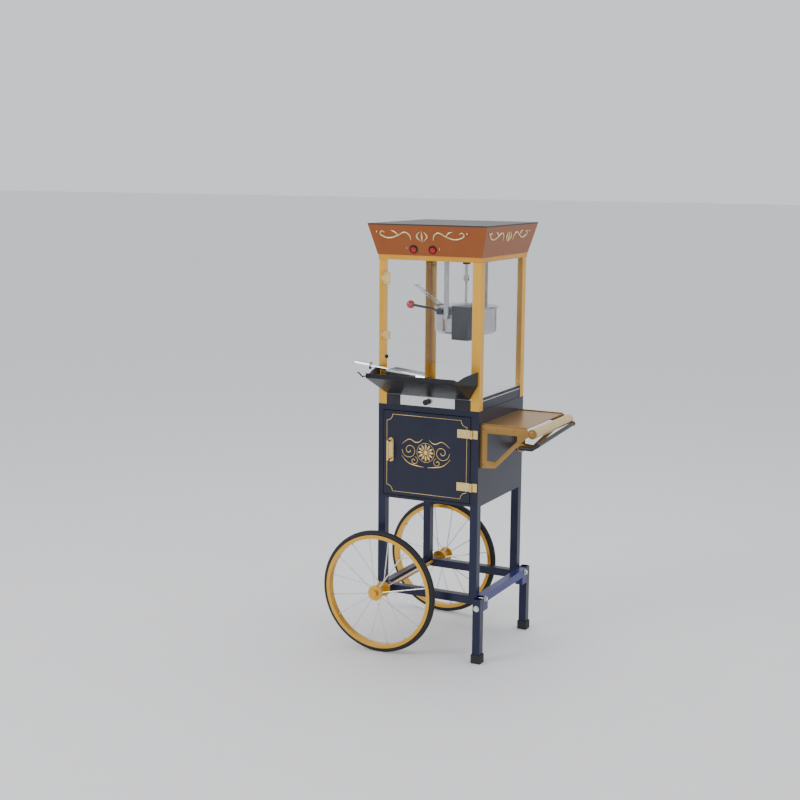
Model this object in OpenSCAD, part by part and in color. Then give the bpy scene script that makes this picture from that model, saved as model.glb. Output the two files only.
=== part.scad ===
// Popcorn cart: a kettle machine with glazed sides on a wheeled storage cabinet.
// Millimetres, +Z up, front at -Y. The origin is under the middle of the whole outline, on the floor.

/* [Cabinet] */
// Width of the cabinet, left to right
cart_w = 343; // [320:1:420]
// Depth of the cabinet, front to back
cart_d = 356; // [290:1:430]
// Height of the cabinet's underside above the floor
cabinet_z = 488; // [450:1:600]
// Height of the cabinet itself
cabinet_h = 298; // [260:1:360]
// Thickness of the cabinet's sheet metal
sheet = 1.6; // [1.2:0.1:2.4]
// Width of the front frame's left stile
left_stile = 17.5; // [14:0.5:24]
// Width of the front frame's right stile, which carries the hinges
right_stile = 25.5; // [22:0.5:32]
// Height of the front frame's top rail
top_rail = 18; // [12:0.5:28]
// Height of the front frame's bottom rail
bottom_rail = 9; // [6:0.5:16]

/* [Storage door] */
// Gap all round the storage door
door_gap = 2; // [1.5:0.1:3]
// Depth of the door's folded edge
door_depth = 12; // [10:0.5:16]
// How far the door stands proud of the front frame
door_proud = 1; // [0.5:0.1:2]
// Height of each hinge leaf
leaf_h = 26; // [20:1:34]
// Length of the door's hinge leaf
leaf_w = 48; // [40:1:60]
// Height of the door pull
pull_h = 74; // [60:1:90]
// Thickness of the pull's bow
pull_d = 8; // [6:0.5:10]
// Clear space between the pull's bow and its plate
pull_reach = 18; // [14:1:24]

/* [Lower frame] */
// Side of the square tube
tube = 25.4; // [22:0.2:31]
// Wall of the square tube
tube_wall = 1.6; // [1.2:0.1:2.4]
// Height of the lower rails above the floor
rail_z = 180; // [174:1:184]
// How much the left rail is narrower than the tube on each side
rail_seam = 0.5; // [0.3:0.1:1]
// Height of the right rail above the floor
right_rail_z = 188; // [180:1:200]
// Length of each corner block
block_l = 35; // [28:1:44]
// Height of each corner block
block_h = 25; // [20:1:30]
// Top of the front lower leg
front_leg_top = 205; // [200:1:230]
// Top of the rear lower leg
rear_leg_top = 215; // [205:1:235]
// Diameter of the frame bolts
bolt_d = 8; // [6:0.5:10]
// Height of each rubber foot
foot_h = 28; // [20:1:36]
// Thickness of each rubber foot's wall
foot_wall = 3; // [2:0.5:4]

/* [Wheels] */
// Outer radius of a wheel
wheel_r = 196; // [190:1:205]
// Thickness of the tyre
tyre_d = 20; // [16:1:24]
// Width of the rim
rim_w = 24; // [22:1:28]
// Number of spokes in a wheel
spoke_count = 16; // [12:2:24]
// Diameter of a spoke
spoke_d = 3.6; // [2.5:0.1:5]
// Distance from the cabinet's left side to the axle
axle_inset = 35; // [33:1:42]
// Distance from the cabinet's face to the middle of a wheel
wheel_gap = 61; // [54:1:72]
// Diameter of the axle
axle_d = 10; // [8:0.5:12]
// Radial running clearance of every bore that turns on a pin
running = 0.05; // [0.03:0.01:0.08]
// Radius of the hub's flanges
flange_r = 24; // [20:1:28]
// Radius of the hub's barrel
hub_r = 14; // [11:1:17]
// Length of the hub on the cabinet's side of the wheel
hub_in = 34; // [28:1:38]
// Length of the hub on the outer side of the wheel
hub_out = 26; // [20:1:32]
// End play of a hub between its spacer and its nut
end_play = 0.5; // [0.4:0.1:1]
// Thickness of a cap nut
nut_h = 10.5; // [8:0.5:14]

/* [Side shelf] */
// Length of the shelf from the cabinet's side
shelf_l = 150; // [125:1:180]
// Height of the shelf's top above the floor
shelf_z = 745; // [730:1:760]
// Front end of the shelf
shelf_front = -165; // [-175:1:-130]
// Rear end of the shelf
shelf_rear = 150; // [120:1:175]
// Thickness of the shelf's brackets
bracket_t = 3; // [2:0.5:4]
// Diameter of the grip tube
grip_d = 30; // [24:1:36]
// Distance from the cabinet's side to the grip tube's axis
grip_out = 168; // [160:1:200]
// Diameter of the push rod
rod_d = 13; // [10:0.5:16]
// Distance from the cabinet's side to the push rod's axis
rod_out = 183.5; // [180:0.5:215]

/* [Machine] */
// Height of the machine's base, up to the front sill's top
base_h = 42; // [38:1:50]
// Height of the corner posts
post_h = 450; // [400:1:540]
// Width of each side of a corner post
post_w = 28; // [24:1:34]
// Thickness of the corner posts
post_t = 2; // [1.5:0.1:3]
// Thickness of the windows
pane_t = 2.5; // [2:0.5:4]
// Height of the deck above the base's underside
deck_up = 27; // [25:1:30]
// Height of the canopy
canopy_h = 110; // [90:1:132]
// How far the canopy flares outwards at its top
canopy_flare = 28; // [20:1:34]
// Height of the canopy's gold trim
trim_h = 15; // [12:1:20]
// Depth of the recess in the ceiling
recess_h = 28; // [26:1:30]
// Underside of the front pane above the machine's base
pane_up = 140; // [126:1:150]
// Distance from the middle to the left switch
switch_left = -50; // [-80:1:-30]
// Distance from the middle to the right switch
switch_right = 14; // [5:1:60]
// Radius of a switch's bezel
bezel_r = 13; // [12:0.5:16]

/* [Kernel drawer] */
// Width of the drawer's front
drawer_w = 185; // [150:1:220]
// Height of the drawer's front
drawer_h = 30; // [26:1:30]
// Depth of the drawer
drawer_d = 300; // [240:1:320]
// Clearance between the drawer and its opening
drawer_gap = 3; // [2:0.5:4]
// Radius of the drawer's knob
knob_r = 9; // [7:0.5:12]

/* [Kettle] */
// Distance from the machine's middle to the kettle's axis
kettle_x = 43; // [35:1:45]
// Radius of the kettle
kettle_r = 97; // [80:1:98]
// Height of the kettle
kettle_h = 82; // [70:1:96]
// Height of the kettle's rim above the machine's base
rim_up = 300; // [290:1:310]
// Distance from the rim down to the tilt pivots
pivot_down = 26; // [20:1:32]
// Wall of the kettle
kettle_wall = 1.5; // [1.2:0.1:2.5]
// Turn of the kettle's tilt axis about the vertical, in degrees
kettle_turn = 10; // [0:1:15]
// Diameter of the tilt pivots
pivot_d = 8; // [6:0.5:10]
// Width of the hanger straps
strap_w = 17; // [14:1:22]
// Thickness of the hanger straps
strap_t = 3; // [2:0.5:4]
// Diameter of the stirrer's shaft
stirrer_d = 8; // [6:0.5:9]
// Diameter of the upper drive shaft
drive_d = 10; // [8:0.5:12]
// Distance from the tilt pivots up to the coupling's tongue
tongue_up = 112; // [110:1:120]
// Radius of the lid hinge's knuckles
knuckle_r = 3.4; // [3:0.1:4]
// Distance from the middle to each lid's hinge
lid_hinge_x = 10; // [9.6:0.1:12]
// Diameter of the red ball
ball_d = 27; // [22:1:32]

/* [Serving tray] */
// Width of the tray at its bottom edge
tray_w = 280; // [250:1:290]
// Width of the tray's lip
lip_w = 294; // [260:1:310]
// Distance from the machine's front to the lip
lip_out = 133; // [110:1:160]
// Height of the lip's foot above the machine's base
lip_up = 98; // [90:1:104]
// Thickness of the tray's sheet
tray_t = 1.5; // [1.2:0.1:2]
// Gap between the machine's front and the tray's rear edge
tray_gap = 4; // [3.5:0.1:5]

/* [Scoop] */
// Radius of the scoop's half-round bowl
scoop_r = 34; // [28:1:38]
// Length of the scoop's bowl
scoop_l = 100; // [80:1:120]
// Slope of the scoop in degrees
scoop_slope = 6.5; // [4:0.5:8]

/* [Hidden] */
$fn = 48;
eps = 0.01;

half_w = cart_w / 2;
half_d = cart_d / 2;
top_z = cabinet_z + cabinet_h;
leg_in = half_w - tube;

axle_x = axle_inset - half_w;
axle_r = axle_d / 2;
wheel_y = half_d + wheel_gap;
hub_start = wheel_y - hub_in;
hub_end = wheel_y + hub_out;
rim_r = wheel_r - tyre_d + 1;
rim_t = 6;
spoke_gap = 360 / spoke_count;

grip_x = half_w + grip_out;
grip_z = shelf_z - 16;
grip_r = grip_d / 2;
rod_x = half_w + rod_out;
rod_r = rod_d / 2;
rod_lug_r = rod_r + 1.5;
rod_start_x = rod_x - 50;
rod_start_z = shelf_z - 59;
rod_end_z = shelf_z - 30;

tray_y = half_d + tray_gap;
lip_y = half_d + lip_out;
wire_r = 2;
wire_tip_y = lip_y + 51;

// The middle of the whole outline stands on the origin.
shift_x = -(axle_x - wheel_r + rod_x + rod_lug_r) / 2;
shift_y = (wire_tip_y + wire_r - hub_end - end_play - nut_h) / 2;

module at_cart() {
    translate([shift_x, shift_y, 0]) children();
}

module block(low, high) {
    translate(low) cube(high - low);
}

// A square tube along Z from the corner at low.
module tube_z(x, y, z0, z1) {
    difference() {
        block([x, y, z0], [x + tube, y + tube, z1]);
        block([x + tube_wall, y + tube_wall, z0 - eps], [x + tube - tube_wall, y + tube - tube_wall, z1 + eps]);
    }
}

module cyl_y(x, z, y0, y1, r) {
    translate([x, y0, z]) rotate([-90, 0, 0]) cylinder(h = y1 - y0, r = r);
}

module cyl_x(y, z, x0, x1, r) {
    translate([x0, y, z]) rotate([0, 90, 0]) cylinder(h = x1 - x0, r = r);
}

// A round bar from one point to another.
module bar(from, to, r) {
    run = to - from;
    flat = norm([run.x, run.y]);
    translate(from) rotate([0, atan2(flat, run.z), atan2(run.y, run.x)]) cylinder(h = norm(run), r = r);
}

// ---- cabinet ----
opening_x0 = left_stile - half_w;
opening_x1 = half_w - right_stile;
opening_z0 = cabinet_z + bottom_rail;
opening_z1 = top_z - top_rail;
inner_w = half_w - sheet;
front_t = 2;

module cabinet_sides() {
    color("midnightblue") at_cart() {
        block([-half_w, front_t - half_d, cabinet_z], [-inner_w, half_d - sheet, top_z]);
        block([inner_w, front_t - half_d, cabinet_z], [half_w, half_d - sheet, top_z]);
    }
}

module cabinet_back() {
    color("midnightblue") at_cart()
        block([-half_w, half_d - sheet, cabinet_z], [half_w, half_d, top_z]);
}

module cabinet_floor() {
    color("midnightblue") at_cart()
        block([-inner_w, front_t - half_d, cabinet_z], [inner_w, half_d - sheet, cabinet_z + sheet]);
}

module cabinet_top() {
    color("midnightblue") at_cart()
        block([-inner_w, front_t - half_d, top_z - sheet], [inner_w, half_d - sheet, top_z]);
}

module cabinet_front() {
    color("midnightblue") at_cart()
        difference() {
            block([-half_w, -half_d, cabinet_z], [half_w, front_t - half_d, top_z]);
            block([opening_x0, -half_d - 1, opening_z0], [opening_x1, front_t - half_d + 1, opening_z1]);
        }
}

// ---- lower frame ----
rail_top = rail_z + tube;
right_out = half_w + tube;
block_z = right_rail_z - block_h;
bolt_x = half_w + tube / 2;
block_bolt_z = block_z + block_h / 2;
rail_bolt_y = half_d - tube / 2;
rail_bolt_z = right_rail_z + tube / 2;
bolt_r = bolt_d / 2;
head_r = bolt_r + 3;
head_h = 4.5;

module bolt_shanks(r) {
    for (side = [-1, 1]) {
        cyl_y(bolt_x, block_bolt_z, side > 0 ? half_d - block_l + 7 : -half_d - tube,
            side > 0 ? half_d + tube : block_l - half_d - 7, r);
        cyl_x(side * rail_bolt_y, rail_bolt_z, leg_in + tube_wall + 4, right_out, r);
    }
}

module main_legs() {
    color("midnightblue") at_cart()
        difference() {
            for (x = [-half_w, leg_in], y = [-half_d, half_d - tube])
                tube_z(x, y, rail_z, cabinet_z);
            bolt_shanks(bolt_r);
        }
}

module rail_x(y) {
    difference() {
        block([-leg_in, y, rail_z], [leg_in, y + tube, rail_top]);
        block([-leg_in - eps, y + tube_wall, rail_z + tube_wall],
            [leg_in + eps, y + tube - tube_wall, rail_top - tube_wall]);
        cyl_y(axle_x, wheel_r, y - 1, y + tube + 1, axle_r);
    }
}

module lower_rails() {
    seam = rail_seam;
    color("midnightblue") at_cart() {
        rail_x(-half_d);
        rail_x(half_d - tube);
        difference() {
            block([seam - half_w, tube - half_d, rail_z], [-leg_in - seam, half_d - tube, rail_top]);
            block([seam + tube_wall - half_w, -half_d, rail_z + tube_wall],
                [-leg_in - seam - tube_wall, half_d, rail_top - tube_wall]);
        }
    }
}

module right_rail() {
    color("navy") at_cart()
        difference() {
            union() {
                difference() {
                    block([half_w, -half_d, right_rail_z], [right_out, half_d, right_rail_z + tube]);
                    block([half_w + tube_wall, -half_d - eps, right_rail_z + tube_wall],
                        [right_out - tube_wall, half_d + eps, right_rail_z + tube - tube_wall]);
                }
                block([half_w, -half_d, block_z], [right_out, block_l - half_d, right_rail_z]);
                block([half_w, half_d - block_l, block_z], [right_out, half_d, right_rail_z]);
            }
            bolt_shanks(bolt_r);
        }
}

foot_floor = 4;

module lower_legs() {
    color("midnightblue") at_cart()
        difference() {
            union() {
                tube_z(half_w, -half_d - tube, foot_floor, front_leg_top);
                tube_z(half_w, half_d, foot_floor, rear_leg_top);
            }
            bolt_shanks(bolt_r);
        }
}

module frame_bolts() {
    color("silver") at_cart() {
        bolt_shanks(bolt_r);
        for (side = [-1, 1]) {
            cyl_y(bolt_x, block_bolt_z, side > 0 ? half_d + tube : -half_d - tube - head_h,
                side > 0 ? half_d + tube + head_h : -half_d - tube, head_r);
            cyl_x(side * rail_bolt_y, rail_bolt_z, right_out, right_out + head_h, head_r);
        }
    }
}

module foot(y) {
    difference() {
        block([half_w - foot_wall, y - foot_wall, 0], [right_out + foot_wall, y + tube + foot_wall, foot_h]);
        block([half_w, y, foot_floor], [right_out, y + tube, foot_h + 1]);
    }
}

module rubber_feet() {
    color("black") at_cart() {
        foot(-half_d - tube);
        foot(half_d);
    }
}

// ---- wheels ----
module axle() {
    spacer_r = axle_r + 4;
    nut_r = axle_r + 5;
    color("goldenrod") at_cart() {
        cyl_y(axle_x, wheel_r, -hub_end - nut_h / 2, hub_end + nut_h / 2, axle_r);
        for (side = [0, 180]) translate([axle_x, 0, wheel_r]) rotate([0, 0, side]) {
            cyl_y(0, 0, half_d, hub_start - end_play, spacer_r);
            cyl_y(0, 0, hub_end + end_play, hub_end + end_play + nut_h, nut_r);
        }
    }
}

// The wheel's own frame has its axis along Y and its middle plane at y = 0.
// out is +1 when the outer side of the wheel points to +Y, and -1 when it points to -Y.
module at_wheel(out) {
    translate([axle_x, out * wheel_y, wheel_r]) rotate([0, 0, out > 0 ? 0 : 180]) children();
}

module ring_y(r) {
    rotate([-90, 0, 0]) rotate_extrude($fn = 96) children();
}

module wheel_tyre(out) {
    color([0.09, 0.09, 0.1]) at_cart() at_wheel(out) ring_y()
        difference() {
            translate([wheel_r - tyre_d / 2, 0]) circle(d = tyre_d, $fn = 24);
            translate([0, -tyre_d]) square([rim_r, 2 * tyre_d]);
        }
}

module wheel_rim(out) {
    lip_t = 1.8;
    color("goldenrod") at_cart() at_wheel(out) ring_y()
        for (side = [-1, 0, 1])
            if (side == 0) translate([rim_r - rim_t, -rim_w / 2]) square([rim_t, rim_w]);
            else translate([rim_r - rim_t, side * (rim_w - lip_t) / 2 - lip_t / 2]) square([rim_t + 5, lip_t]);
}

module wheel_spokes(out) {
    color("silver") at_cart() at_wheel(out)
        intersection() {
            for (i = [0:spoke_count - 1])
                rotate([0, (i + 0.5) * spoke_gap, 0])
                    bar([0, i % 2 == 0 ? hub_out - 3 : 3 - hub_in, 0], [rim_r, 0, 0], spoke_d / 2);
            rotate([90, 0, 0]) difference() {
                cylinder(h = 4 * hub_in, r = rim_r - rim_t, center = true, $fn = 96);
                cylinder(h = 5 * hub_in, r = flange_r, center = true);
            }
        }
}

module wheel_hub(out) {
    flange_t = 6;
    color("goldenrod") at_cart() at_wheel(out)
        difference() {
            union() {
                cyl_y(0, 0, -hub_in, hub_out, hub_r);
                cyl_y(0, 0, -hub_in, flange_t - hub_in, flange_r);
                cyl_y(0, 0, hub_out - flange_t, hub_out, flange_r);
            }
            cyl_y(0, 0, -2 * hub_in, 2 * hub_in, axle_r + running);
        }
}

module front_tyre() { wheel_tyre(-1); }
module front_rim() { wheel_rim(-1); }
module front_spokes() { wheel_spokes(-1); }
module front_hub() { wheel_hub(-1); }
module rear_tyre() { wheel_tyre(1); }
module rear_rim() { wheel_rim(1); }
module rear_spokes() { wheel_spokes(1); }
module rear_hub() { wheel_hub(1); }

// ---- side shelf ----
module shelf_plate() {
    color("goldenrod") at_cart()
        block([half_w, shelf_front + bracket_t, shelf_z - 2], [half_w + shelf_l, shelf_rear - bracket_t, shelf_z]);
}

// Outline of a bracket in the X-Z plane, measured from the cabinet's side and the shelf's top.
module bracket_outline() {
    difference() {
        union() {
            polygon([[0, 0], [shelf_l, 0], [grip_out - 4, -20], [shelf_l - 6, -34], [shelf_l / 3, -131], [0, -135]]);
            translate([grip_out, grip_z - shelf_z]) circle(r = grip_r);
        }
        polygon([[22, -25], [shelf_l - 30, -25], [shelf_l - 30, -41], [shelf_l / 3, -112], [22, -109]]);
    }
}

module bracket_plate(y) {
    translate([half_w, y + bracket_t, shelf_z]) rotate([90, 0, 0]) linear_extrude(bracket_t) children();
}

module shelf_brackets() {
    color("goldenrod") at_cart() {
        bracket_plate(shelf_front) {
            union() {
                bracket_outline();
                translate([rod_start_x - half_w, rod_start_z - shelf_z]) circle(r = 13);
            }
        }
        bracket_plate(shelf_rear - bracket_t) {
            union() {
                bracket_outline();
                translate([rod_x - half_w, rod_end_z - shelf_z]) circle(r = rod_lug_r);
            }
        }
    }
}

module shelf_grip() {
    color("gold") at_cart()
        difference() {
            cyl_y(grip_x, grip_z, shelf_front + bracket_t, shelf_rear - bracket_t, grip_r);
            cyl_y(grip_x, grip_z, shelf_front, shelf_rear, grip_r - 2);
        }
}

module push_rod() {
    front_y = shelf_front - 8;
    corner_1 = [rod_start_x, front_y, rod_start_z];
    corner_2 = [rod_x - 13, front_y, rod_start_z];
    corner_3 = [rod_x, front_y + 17, rod_start_z + 9];
    color([0.15, 0.15, 0.17]) at_cart() {
        bar([rod_start_x, shelf_front, rod_start_z], corner_1, rod_r);
        bar(corner_1, corner_2, rod_r);
        bar(corner_2, corner_3, rod_r);
        intersection() {
            bar(corner_3, [rod_x, shelf_rear, rod_end_z], rod_r);
            block([0, front_y, 0], [2 * rod_x, shelf_rear - bracket_t, top_z]);
        }
        for (corner = [corner_1, corner_2, corner_3]) translate(corner) sphere(r = rod_r);
    }
}

// ---- storage door ----
door_x0 = opening_x0 + door_gap;
door_x1 = opening_x1 - door_gap;
door_z0 = opening_z0 + door_gap;
door_z1 = opening_z1 - door_gap;
door_y = -half_d - door_proud;
barrel_r = 4;
pin_r = 2;
knuckle_gap = 0.4;
hinge_y = -half_d - barrel_r;
hinge_x = opening_x1 + 3;
leaf_t = 1.6;
upper_leaf_z = top_z - 85;
lower_leaf_z = cabinet_z + 48;

// The part of a hinge that stays: two end knuckles, the pin and a leaf towards side (+1 right, -1 left).
module fixed_leaf(x, z, h, side, length) {
    end_h = h / 4;
    x0 = side > 0 ? x + barrel_r + 0.5 : x - length;
    x1 = side > 0 ? x + length : x - barrel_r - 0.5;
    translate([x, hinge_y, z]) cylinder(h = h, r = pin_r);
    for (low = [z, z + h - end_h]) {
        translate([x, hinge_y, low]) cylinder(h = end_h, r = barrel_r);
        block([min(x, side > 0 ? x : x0), -half_d - leaf_t, low], [max(x, side > 0 ? x1 : x), -half_d, low + end_h]);
    }
    block([x0, -half_d - leaf_t, z], [x1, -half_d, z + h]);
}

// The knuckle that swings, and its strap to a leaf that starts at x_leaf on a face at y_face.
module moving_leaf(x, z, h, x_leaf, x_end, y_face) {
    low = z + h / 4 + knuckle_gap;
    high = z + 3 * h / 4 - knuckle_gap;
    difference() {
        union() {
            translate([x, hinge_y, low]) cylinder(h = high - low, r = barrel_r);
            block([min(x, x_leaf), y_face - leaf_t, low], [max(x, x_leaf), y_face, high]);
        }
        translate([x, hinge_y, low - 1]) cylinder(h = high - low + 2, r = pin_r + running);
    }
    block([min(x_leaf, x_end), y_face - leaf_t, z], [max(x_leaf, x_end), y_face, z + h]);
}

module cabinet_hinges() {
    color("gold") at_cart()
        for (z = [lower_leaf_z, upper_leaf_z])
            fixed_leaf(hinge_x, z, leaf_h, 1, right_stile - 6);
}

module storage_leaves() {
    color("gold") at_cart()
        for (z = [lower_leaf_z, upper_leaf_z])
            moving_leaf(hinge_x, z, leaf_h, door_x1 - 0.5, hinge_x - leaf_w, door_y);
}

module storage_door() {
    color("midnightblue") at_cart()
        difference() {
            block([door_x0, door_y, door_z0], [door_x1, door_y + door_depth, door_z1]);
            block([door_x0 + sheet, door_y + sheet, door_z0 + sheet],
                [door_x1 - sheet, door_y + door_depth + 1, door_z1 - sheet]);
        }
}

pull_x = door_x0 + 26;
pull_z = (door_z0 + door_z1) / 2 + 10;

module storage_pull() {
    plate_t = 2;
    post_y = door_y - plate_t - pull_reach - pull_d / 2;
    post_z = pull_h / 2 - pull_d;
    color("gold") at_cart() translate([pull_x, 0, pull_z]) {
        for (side = [-1, 1]) {
            cyl_y(0, side * post_z, post_y, door_y - plate_t, pull_d / 2);
            translate([0, post_y, side * post_z]) sphere(r = pull_d / 2);
            cyl_y(0, side * post_z, door_y - plate_t, door_y, 9);
        }
        translate([0, post_y, -post_z]) cylinder(h = 2 * post_z, r = pull_d / 2);
        block([-9, door_y - plate_t, -post_z], [9, door_y, post_z]);
    }
}

module door_catch() {
    color("dimgray") at_cart()
        block([opening_x0 - 8, front_t - half_d, pull_z - 14], [opening_x0, door_y + door_depth + 14, pull_z + 14]);
}

// ---- machine base ----
skin_x = half_w - post_t;
skin_y = half_d - post_t;
sill_z = top_z + base_h;
deck_z = top_z + deck_up;
ceiling_z = top_z + post_h;
drawer_x0 = -drawer_w / 2 - 1.5;
drawer_x1 = drawer_w / 2 - 1.5;
drawer_z0 = top_z + 2;
mouth_x0 = drawer_x0 + drawer_gap;
mouth_x1 = drawer_x1 - drawer_gap;
mouth_z0 = drawer_z0 + 1;
mouth_z1 = drawer_z0 + drawer_h - 3;
strip_z = sill_z - 9;
sill_x = half_w - post_w;

module base_pan() {
    color("midnightblue") at_cart()
        difference() {
            block([-skin_x, -skin_y, top_z], [skin_x, skin_y, deck_z]);
            block([2 - skin_x, -half_d, top_z + 2], [skin_x - 2, skin_y - 2, deck_z + 1]);
        }
}

module base_fascia() {
    color([0.1, 0.1, 0.11]) at_cart()
        difference() {
            block([-sill_x, -half_d, top_z], [sill_x, -skin_y, strip_z]);
            block([mouth_x0, -half_d - 1, mouth_z0], [mouth_x1, 1 - skin_y, mouth_z1]);
        }
}

module deck_plate() {
    deck_t = 2;
    slot_l = 44;
    color("silver") at_cart() {
        difference() {
            block([-skin_x, -skin_y, deck_z], [skin_x, skin_y, deck_z + deck_t]);
            for (column = [-1, 1], row = [-5:5])
                block([column * 30 - slot_l / 2, row * 10 - 2, deck_z - 1],
                    [column * 30 + slot_l / 2, row * 10 + 2, deck_z + deck_t + 1]);
        }
        block([-sill_x, -skin_y, deck_z], [sill_x, deck_t - skin_y, sill_z]);
        block([-sill_x, -half_d, strip_z], [sill_x, -skin_y, sill_z]);
    }
}

module power_inlet() {
    inlet_x = 110;
    inlet_z = top_z + 13;
    color([0.1, 0.1, 0.11]) at_cart()
        difference() {
            block([inlet_x - 15, skin_y, inlet_z - 11], [inlet_x + 15, skin_y + 8, inlet_z + 11]);
            block([inlet_x - 12, skin_y + 3, inlet_z - 8], [inlet_x + 12, skin_y + 9, inlet_z + 8]);
        }
}

// ---- posts, windows and front pane ----
pane_hinge_x = 11.5 - half_w;
pane_y = -half_d - 2.5;
pane_z0 = top_z + pane_up;
pane_z1 = ceiling_z - 8;
clip_zones = [[ceiling_z - 76, 37], [top_z + 204, 25]];

module corner_posts() {
    color("goldenrod") at_cart() {
        for (sx = [-1, 1], sy = [-1, 1]) {
            x0 = sx > 0 ? half_w - post_w : -half_w;
            y0 = sy > 0 ? half_d - post_w : -half_d;
            difference() {
                block([x0, y0, top_z], [x0 + post_w, y0 + post_w, ceiling_z]);
                block([x0 - sx * post_t, y0 - sy * post_t, top_z - 1],
                    [x0 + post_w - sx * post_t, y0 + post_w - sy * post_t, ceiling_z + 1]);
            }
        }
        for (zone = clip_zones) fixed_leaf(pane_hinge_x, zone[0], zone[1], -1, 10);
    }
}

window_z0 = deck_z + 2;

module windows() {
    side_y = skin_y - pane_t - 1.5;
    back_x = skin_x - pane_t - 2;
    color("lightblue", 0.35) at_cart() {
        block([-skin_x, -side_y, window_z0], [pane_t - skin_x, side_y, ceiling_z]);
        block([skin_x - pane_t, -side_y, window_z0], [skin_x, side_y, ceiling_z]);
        block([-back_x, skin_y - pane_t, window_z0], [back_x, skin_y, ceiling_z]);
    }
}

module front_pane() {
    color("lightblue", 0.35) at_cart()
        block([pane_hinge_x + 6, pane_y - pane_t, pane_z0], [half_w - 20, pane_y, pane_z1]);
}

module pane_clips() {
    color("gold") at_cart()
        for (zone = clip_zones)
            moving_leaf(pane_hinge_x, zone[0], zone[1], pane_hinge_x + 5, pane_hinge_x + 30, pane_y - pane_t);
}

// ---- canopy ----
top_cover_h = 4;
trim_z = ceiling_z + trim_h;
roof_z = ceiling_z + canopy_h;
shell_t = 2;
lean = atan2(canopy_flare, canopy_h);

function flare_at(z) = canopy_flare * (z - ceiling_z) / canopy_h;

module canopy_form(z0, z1, inset) {
    hull() {
        for (z = [z0, z1 - eps]) {
            grow = flare_at(z) - inset;
            block([-half_w - grow, -half_d - grow, z], [half_w + grow, half_d + grow, z + eps]);
        }
    }
}

switch_z = ceiling_z + 34;
bezel_body_r = bezel_r - 2;
cavity_r = bezel_body_r - 0.8;

// A switch's own frame: the canopy's face is the plane y = 0 and the outside is -Y.
module at_switch(x) {
    translate([x, -half_d - flare_at(switch_z), switch_z]) rotate([lean, 0, 0]) children();
}

module canopy_shell() {
    color("sienna") at_cart()
        difference() {
            canopy_form(trim_z, roof_z - top_cover_h, 0);
            canopy_form(trim_z - 2 * eps, roof_z - top_cover_h + 2 * eps, shell_t);
            for (x = [switch_left, switch_right]) at_switch(x) cyl_y(0, 0, -10, 20, bezel_body_r);
        }
}

module canopy_trim() {
    color("gold") at_cart()
        difference() {
            block([-half_w - 2, -half_d - 2, ceiling_z], [half_w + 2, half_d + 2, trim_z]);
            block([-skin_x, -skin_y, ceiling_z - 1], [skin_x, skin_y, trim_z + 1]);
        }
}

module canopy_top() {
    grow = flare_at(roof_z) - 0.5;
    color([0.12, 0.1, 0.09]) at_cart()
        block([-half_w - grow, -half_d - grow, roof_z - top_cover_h], [half_w + grow, half_d + grow, roof_z]);
}

recess_x = half_w - 21.5;
recess_y0 = 38 - half_d;
recess_y1 = half_d - 18;
recess_z = ceiling_z + recess_h;

// ---- kettle frame: origin on the kettle's axis, Y along the tilt axis, Z from the floor ----
rim_z = top_z + rim_up;
pivot_z = rim_z - pivot_down;
pivot_r = pivot_d / 2;
strap_y = kettle_r + 9.5;
drive_r = drive_d / 2;

module at_kettle() {
    translate([kettle_x, 0, 0]) rotate([0, 0, -kettle_turn]) children();
}

module ceiling_plate() {
    plate_t = 2;
    color("silver") at_cart()
        difference() {
            union() {
                block([-skin_x, -skin_y, ceiling_z], [skin_x, skin_y, ceiling_z + plate_t]);
                block([-recess_x - plate_t, recess_y0 - plate_t, ceiling_z],
                    [recess_x + plate_t, recess_y1 + plate_t, recess_z + plate_t]);
            }
            block([-recess_x, recess_y0, ceiling_z - 1], [recess_x, recess_y1, recess_z]);
            at_kettle() translate([0, 0, recess_z - 1]) cylinder(h = plate_t + 2, r = bush_r);
        }
}

module hanger_straps() {
    color("silver") at_cart() at_kettle()
        for (side = [0, 180]) rotate([0, 0, side])
            difference() {
                union() {
                    block([-strap_w / 2, strap_y, pivot_z], [strap_w / 2, strap_y + strap_t, recess_z]);
                    cyl_y(0, pivot_z, strap_y, strap_y + strap_t, strap_w / 2);
                    block([-strap_w / 2, strap_y - 14, recess_z - strap_t], [strap_w / 2, strap_y, recess_z]);
                }
                cyl_y(0, pivot_z, strap_y - 1, strap_y + strap_t + 1, pivot_r + running);
            }
}

bush_r = 12;
shaft_top = recess_z + 12;
cap_z = ceiling_z - 18;

module drive_motor() {
    motor_r = 34;
    motor_h = 56;
    color([0.2, 0.2, 0.22]) at_cart() at_kettle()
        difference() {
            union() {
                translate([0, 0, cap_z]) cylinder(h = recess_z + 2 - cap_z, r = bush_r);
                translate([0, 0, recess_z + 2]) cylinder(h = motor_h, r = motor_r);
            }
            translate([0, 0, cap_z - 1]) cylinder(h = shaft_top + 2 - cap_z, r = drive_r + running);
        }
}

module lamp() {
    color("ivory") at_cart() translate([-60, half_d - 68, 0]) {
        translate([0, 0, recess_z - 14]) cylinder(h = 14, r = 15);
        translate([0, 0, recess_z - 26]) sphere(r = 16);
    }
}

fork_z = pivot_z + tongue_up - 6;
fork_h = 17;
tongue_t = 3.2;
tongue_w = 10;
tongue_gap = 0.7;

module drive_shaft() {
    fork_r = drive_r + 4;
    color("silver") at_cart() at_kettle()
        difference() {
            union() {
                translate([0, 0, fork_z]) cylinder(h = fork_h, r = fork_r);
                translate([0, 0, fork_z + fork_h]) cylinder(h = shaft_top - fork_z - fork_h, r = drive_r);
            }
            block([-2 * fork_r, -tongue_t / 2 - tongue_gap, fork_z - 1],
                [2 * fork_r, tongue_t / 2 + tongue_gap, fork_z + 8]);
        }
}

// ---- switches ----
rocker_y = 2;
rocker_rest = 8;

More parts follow.
